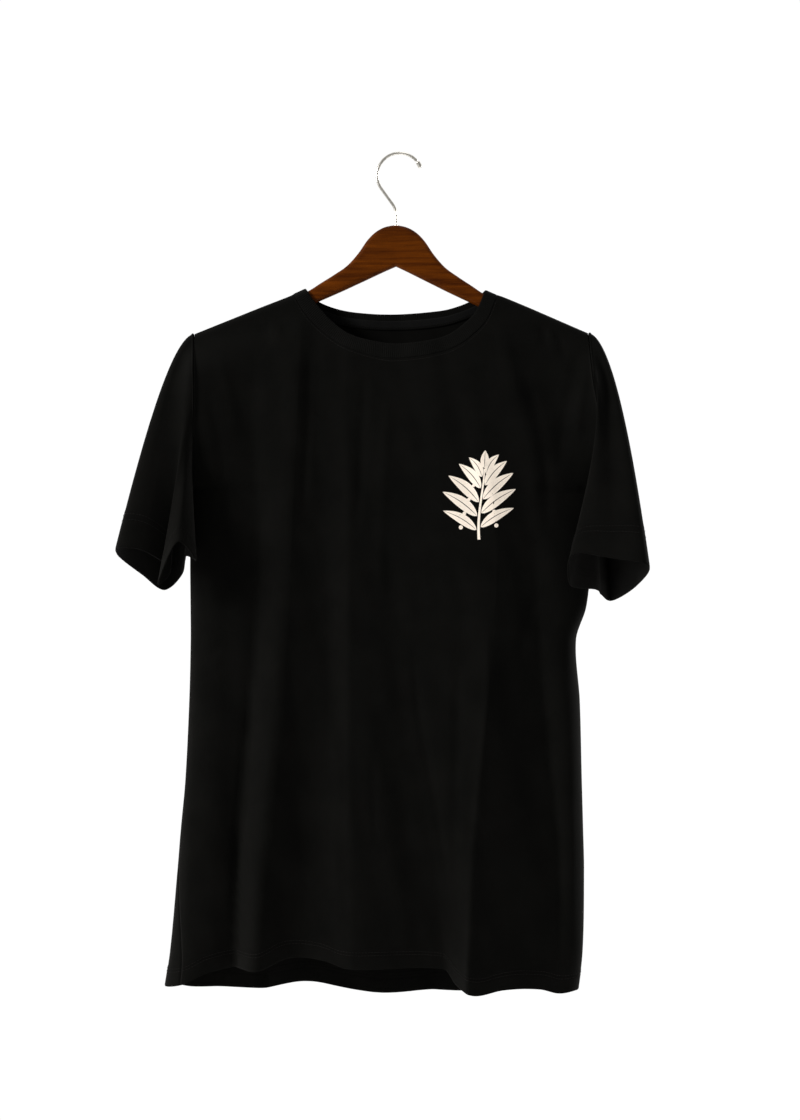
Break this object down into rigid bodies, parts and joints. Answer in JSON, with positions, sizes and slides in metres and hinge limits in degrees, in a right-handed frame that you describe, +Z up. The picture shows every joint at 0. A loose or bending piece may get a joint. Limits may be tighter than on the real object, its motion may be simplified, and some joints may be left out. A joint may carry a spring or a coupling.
{
  "type": "crew neck t-shirt on a hanger",
  "caption": "Short-sleeved black crew neck t-shirt hanging open and softly folded on a varnished wooden clothes hanger with a wire hook.",
  "frame": {"origin": "underside of the hook's wire at its top, where a rail carries the hanger", "axes": "+Z up, the shirt's front faces -Y, +X towards the wearer's left sleeve"},
  "size_m": [0.5659, 0.1665, 0.9188],
  "materials": {
    "jersey": "matt cotton jersey",
    "ribbing": "matt fine cotton rib",
    "tape": "matt jersey tape",
    "print": "flat water-based print",
    "varnished_wood": "dark brown satin varnish",
    "steel": "bright nickel-plated wire"
  },
  "bodies": {
    "root": {"front_panel": "jersey", "back_panel": "jersey", "sleeve_right": "jersey", "sleeve_left": "jersey", "neck_rib": "ribbing", "neck_tape": "tape", "hanger_wood": "varnished_wood", "hanger_hook": "steel", "hook_cap": "steel"}
  },
  "joints": []
}
